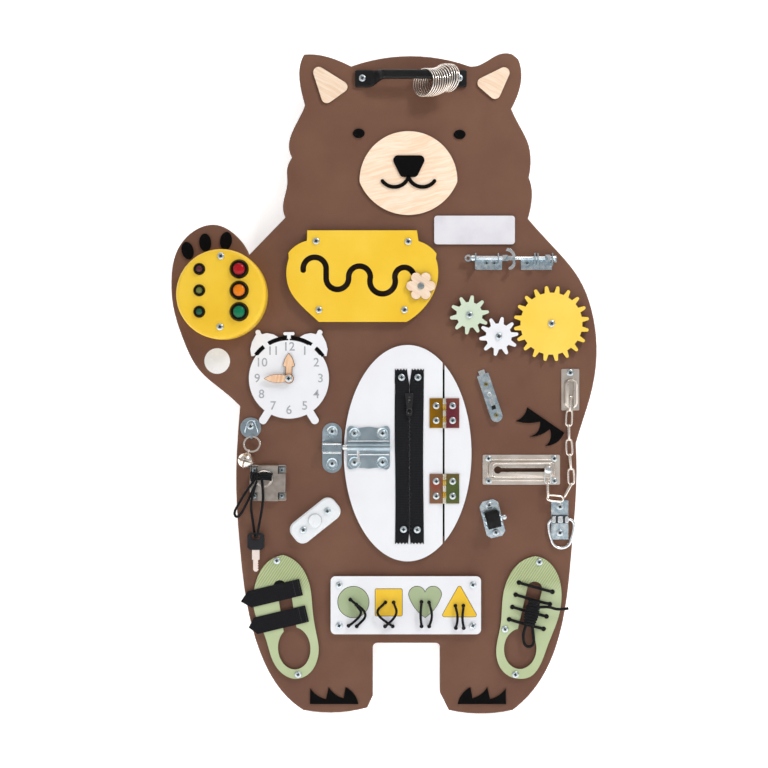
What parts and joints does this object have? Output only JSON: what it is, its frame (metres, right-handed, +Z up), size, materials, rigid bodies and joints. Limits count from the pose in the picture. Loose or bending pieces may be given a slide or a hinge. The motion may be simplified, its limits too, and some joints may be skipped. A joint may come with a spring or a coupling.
{
  "type": "busy board",
  "caption": "Bear-shaped wooden activity board for a wall, carrying latches, gears, a zip door, a clock, a light box, keys, chain, shapes and shoe laces.",
  "frame": {"origin": "on the flat back face, on the bear's centreline at the middle of its height", "axes": "+Z up the bear, +X to the viewer's right, the front faces -Y and the wall is at +Y"},
  "size_m": [0.532, 0.0558, 0.8261],
  "materials": {
    "bear_plywood": "stained plywood, satin lacquer",
    "birch": "pale birch plywood",
    "black_felt": "matt black felt-like sheet",
    "screw_zinc": "zinc-plated",
    "handle_plastic": "moulded black plastic",
    "ring_metal": "bright nickel",
    "box_yellow": "yellow satin lacquer",
    "fittings": "black lamp rims and collars",
    "cap_red": "glossy",
    "cap_orange": "glossy",
    "cap_green": "glossy",
    "maze_yellow": "satin paint on plywood",
    "flower_birch": "pale birch plywood",
    "white_plywood": "satin paint on plywood",
    "gear_green": "satin paint on plywood",
    "gear_yellow": "satin paint on plywood",
    "zip_metal": "black lacquer on die-cast zinc",
    "zinc": "zinc-plated pressed steel",
    "chromate": "yellow chromate",
    "shoe_green": "satin paint on plywood",
    "tape": "woven zip tape",
    "chain": "plated wire",
    "wheel": "moulded",
    "bell": "blue-grey steel",
    "case": "satin nickel lock case; the switch housing is white plastic",
    "plug": "turned plug",
    "key": "moulded head, steel blade",
    "cord": "round black lace",
    "switch": "moulded",
    "shape_yellow": "satin paint on plywood",
    "shape_green": "satin paint on plywood",
    "strap": "hook and loop webbing"
  },
  "bodies": {
    "board": {"bear_board": "bear_plywood", "ears_and_snout": "birch", "face_and_claws": "black_felt", "panel_screws": "screw_zinc", "pull_handle": "handle_plastic", "light_box": "box_yellow", "box_fittings": "fittings", "maze_plate": "maze_yellow", "bolt_brackets": "zinc", "clock_face": "white_plywood", "door_strip": "white_plywood", "hinge_leaves_fixed": "chromate", "chain_plates": "zinc", "ring_plates_and_fork": "zinc", "lock_and_switch_cases": "case", "shapes_plate": "white_plywood", "shoe_plates": "shoe_green", "laces": "cord"},
    "rings": {"handle_rings": "ring_metal"},
    "cap_red": {"button_red": "cap_red"},
    "cap_orange": {"button_orange": "cap_orange"},
    "cap_green": {"button_green": "cap_green"},
    "slot_bolt": {"flower_bolt": "screw_zinc"},
    "flower_wheel": {"flower": "flower_birch"},
    "yellow_wheel": {"gear_yellow": "gear_yellow"},
    "white_wheel": {"gear_white": "white_plywood"},
    "green_wheel": {"gear_green": "gear_green"},
    "hour": {"hour_hand": "birch"},
    "minute": {"minute_hand": "birch"},
    "rod": {"latch_rod": "zinc"},
    "door": {"door_panel": "white_plywood", "hinge_leaves_door": "chromate", "door_screws": "screw_zinc", "zip_tapes": "tape", "door_latch_plate": "zinc"},
    "door_bolt": {"door_latch_bolt": "zinc"},
    "slider": {"zip_slider": "zip_metal"},
    "pull": {"zip_pull": "zip_metal"},
    "tongue": {"flush_bolt_tongue": "zinc"},
    "upper_chain": {"chain_upper": "chain"},
    "knob": {"chain_knob": "zinc"},
    "lower_chain": {"chain_lower": "chain"},
    "d_ring": {"tie_ring": "zinc"},
    "castor": {"castor_wheel": "wheel"},
    "plug": {"lock_cylinder": "plug"},
    "key_set": {"key": "key", "key_cord": "cord"},
    "split_ring": {"bell_ring": "ring_metal"},
    "bell": {"jingle_bell": "bell"},
    "switch_cap": {"switch_button": "switch"},
    "circle": {"shape_circle": "shape_green", "cord_circle": "cord"},
    "square": {"shape_square": "shape_yellow", "cord_square": "cord"},
    "heart": {"shape_heart": "shape_green", "cord_heart": "cord"},
    "triangle": {"shape_triangle": "shape_yellow", "cord_triangle": "cord"},
    "upper_strap": {"strap_upper": "strap"},
    "lower_strap": {"strap_lower": "strap"}
  },
  "joints": [
    {"name": "rings_slide", "type": "slide", "parent": "board", "child": "rings", "axis": [1, 0, 0], "range_m": [-0.034, 0]},
    {"name": "button_red_push", "type": "slide", "parent": "board", "child": "cap_red", "axis": [0, 1, 0], "range_m": [0, 0.003], "stiffness_N_per_m": 150},
    {"name": "button_orange_push", "type": "slide", "parent": "board", "child": "cap_orange", "axis": [0, 1, 0], "range_m": [0, 0.003], "stiffness_N_per_m": 150},
    {"name": "button_green_push", "type": "slide", "parent": "board", "child": "cap_green", "axis": [0, 1, 0], "range_m": [0, 0.003], "stiffness_N_per_m": 150},
    {"name": "flower_slide", "type": "slide", "parent": "board", "child": "slot_bolt", "axis": [-0.5042, 0, 0.8636], "range_m": [0, 0.018]},
    {"name": "flower_spin", "type": "hinge", "parent": "slot_bolt", "child": "flower_wheel", "pos_m": [0.0158, -0.026, 0.1205], "axis": [0, 1, 0], "continuous": true},
    {"name": "yellow_gear_spin", "type": "hinge", "parent": "board", "child": "yellow_wheel", "pos_m": [0.1785, -0.0198, 0.074], "axis": [0, 1, 0], "continuous": true},
    {"name": "white_gear_spin", "type": "hinge", "parent": "board", "child": "white_wheel", "pos_m": [0.1129, -0.0198, 0.0581], "axis": [0, 1, 0], "continuous": true},
    {"name": "green_gear_spin", "type": "hinge", "parent": "board", "child": "green_wheel", "pos_m": [0.07642, -0.0198, 0.08489], "axis": [0, 1, 0], "continuous": true},
    {"name": "hour_hand_turn", "type": "hinge", "parent": "board", "child": "hour", "pos_m": [-0.1486, -0.0195, 0.0056], "axis": [0, 1, 0], "continuous": true},
    {"name": "minute_hand_turn", "type": "hinge", "parent": "board", "child": "minute", "pos_m": [-0.1486, -0.0225, 0.0056], "axis": [0, 1, 0], "continuous": true},
    {"name": "latch_rod_turn", "type": "hinge", "parent": "board", "child": "rod", "pos_m": [0.13, -0.0238, 0.1553], "axis": [1, 0, 0], "range_deg": [0, 40]},
    {"name": "door_hinge", "type": "hinge", "parent": "board", "child": "door", "pos_m": [0.0453, -0.0218, -0.0875], "axis": [0, 0, 1], "range_deg": [0, 110]},
    {"name": "door_bolt_slide", "type": "slide", "parent": "door", "child": "door_bolt", "axis": [1, 0, 0], "range_m": [-0.01, 0.018]},
    {"name": "zip_slide", "type": "slide", "parent": "door", "child": "slider", "axis": [0, 0, -1], "range_m": [0, 0.15]},
    {"name": "zip_pull_swing", "type": "hinge", "parent": "slider", "child": "pull", "pos_m": [0.0016, -0.024, -0.02], "axis": [-1, 0, 0], "range_deg": [0, 90]},
    {"name": "flush_tongue_slide", "type": "slide", "parent": "board", "child": "tongue", "axis": [-0.3173, 0, 0.9483], "range_m": [0, 0.008]},
    {"name": "upper_chain_swing", "type": "hinge", "parent": "board", "child": "upper_chain", "pos_m": [0.2027, -0.0215, -0.0172], "axis": [-1, 0, 0], "range_deg": [0, 60]},
    {"name": "chain_knob_slide", "type": "slide", "parent": "board", "child": "knob", "axis": [-1, 0, 0], "range_m": [0, 0.052]},
    {"name": "lower_chain_swing", "type": "hinge", "parent": "knob", "child": "lower_chain", "pos_m": [0.1737, -0.0246, -0.1243], "axis": [-1, 0, 0], "range_deg": [0, 28]},
    {"name": "tie_ring_swing", "type": "hinge", "parent": "board", "child": "d_ring", "pos_m": [0.1896, -0.0186, -0.17], "axis": [-1, 0, 0], "range_deg": [0, 90]},
    {"name": "castor_wheel_spin", "type": "hinge", "parent": "board", "child": "castor", "pos_m": [0.1054, -0.0285, -0.1694], "axis": [0.9703, 0, 0.2419], "continuous": true},
    {"name": "lock_plug_turn", "type": "hinge", "parent": "board", "child": "plug", "pos_m": [-0.1793, -0.023, -0.1191], "axis": [0, 1, 0], "range_deg": [0, 90]},
    {"name": "key_swing", "type": "hinge", "parent": "board", "child": "key_set", "pos_m": [-0.185, -0.0283, -0.117], "axis": [-1, 0, 0], "range_deg": [0, 40]},
    {"name": "bell_ring_swing", "type": "hinge", "parent": "board", "child": "split_ring", "pos_m": [-0.1951, -0.0196, -0.067], "axis": [-1, 0, 0], "range_deg": [0, 60]},
    {"name": "jingle_bell_swing", "type": "hinge", "parent": "split_ring", "child": "bell", "pos_m": [-0.19769, -0.02679, -0.08481], "axis": [-0.9397, 0.1281, 0.3171], "range_deg": [0, 40]},
    {"name": "switch_push", "type": "slide", "parent": "board", "child": "switch_cap", "axis": [0, 1, 0], "range_m": [0, 0.002], "stiffness_N_per_m": 150},
    {"name": "circle_lift_out", "type": "slide", "parent": "board", "child": "circle", "axis": [0, -1, 0], "range_m": [0, 0.03]},
    {"name": "square_lift_out", "type": "slide", "parent": "board", "child": "square", "axis": [0, -1, 0], "range_m": [0, 0.03]},
    {"name": "heart_lift_out", "type": "slide", "parent": "board", "child": "heart", "axis": [0, -1, 0], "range_m": [0, 0.03]},
    {"name": "triangle_lift_out", "type": "slide", "parent": "board", "child": "triangle", "axis": [0, -1, 0], "range_m": [0, 0.03]},
    {"name": "upper_strap_peel", "type": "hinge", "parent": "board", "child": "upper_strap", "pos_m": [-0.1333, -0.0193, -0.2543], "axis": [-0.2334, 0, 0.9724], "range_deg": [0, 95]},
    {"name": "lower_strap_peel", "type": "hinge", "parent": "board", "child": "lower_strap", "pos_m": [-0.1258, -0.0193, -0.2873], "axis": [-0.2334, 0, 0.9724], "range_deg": [0, 95]}
  ],
  "couplings": [
    {"joint": "white_gear_spin", "follows": "yellow_gear_spin", "ratio": -2},
    {"joint": "green_gear_spin", "follows": "yellow_gear_spin", "ratio": 2}
  ]
}
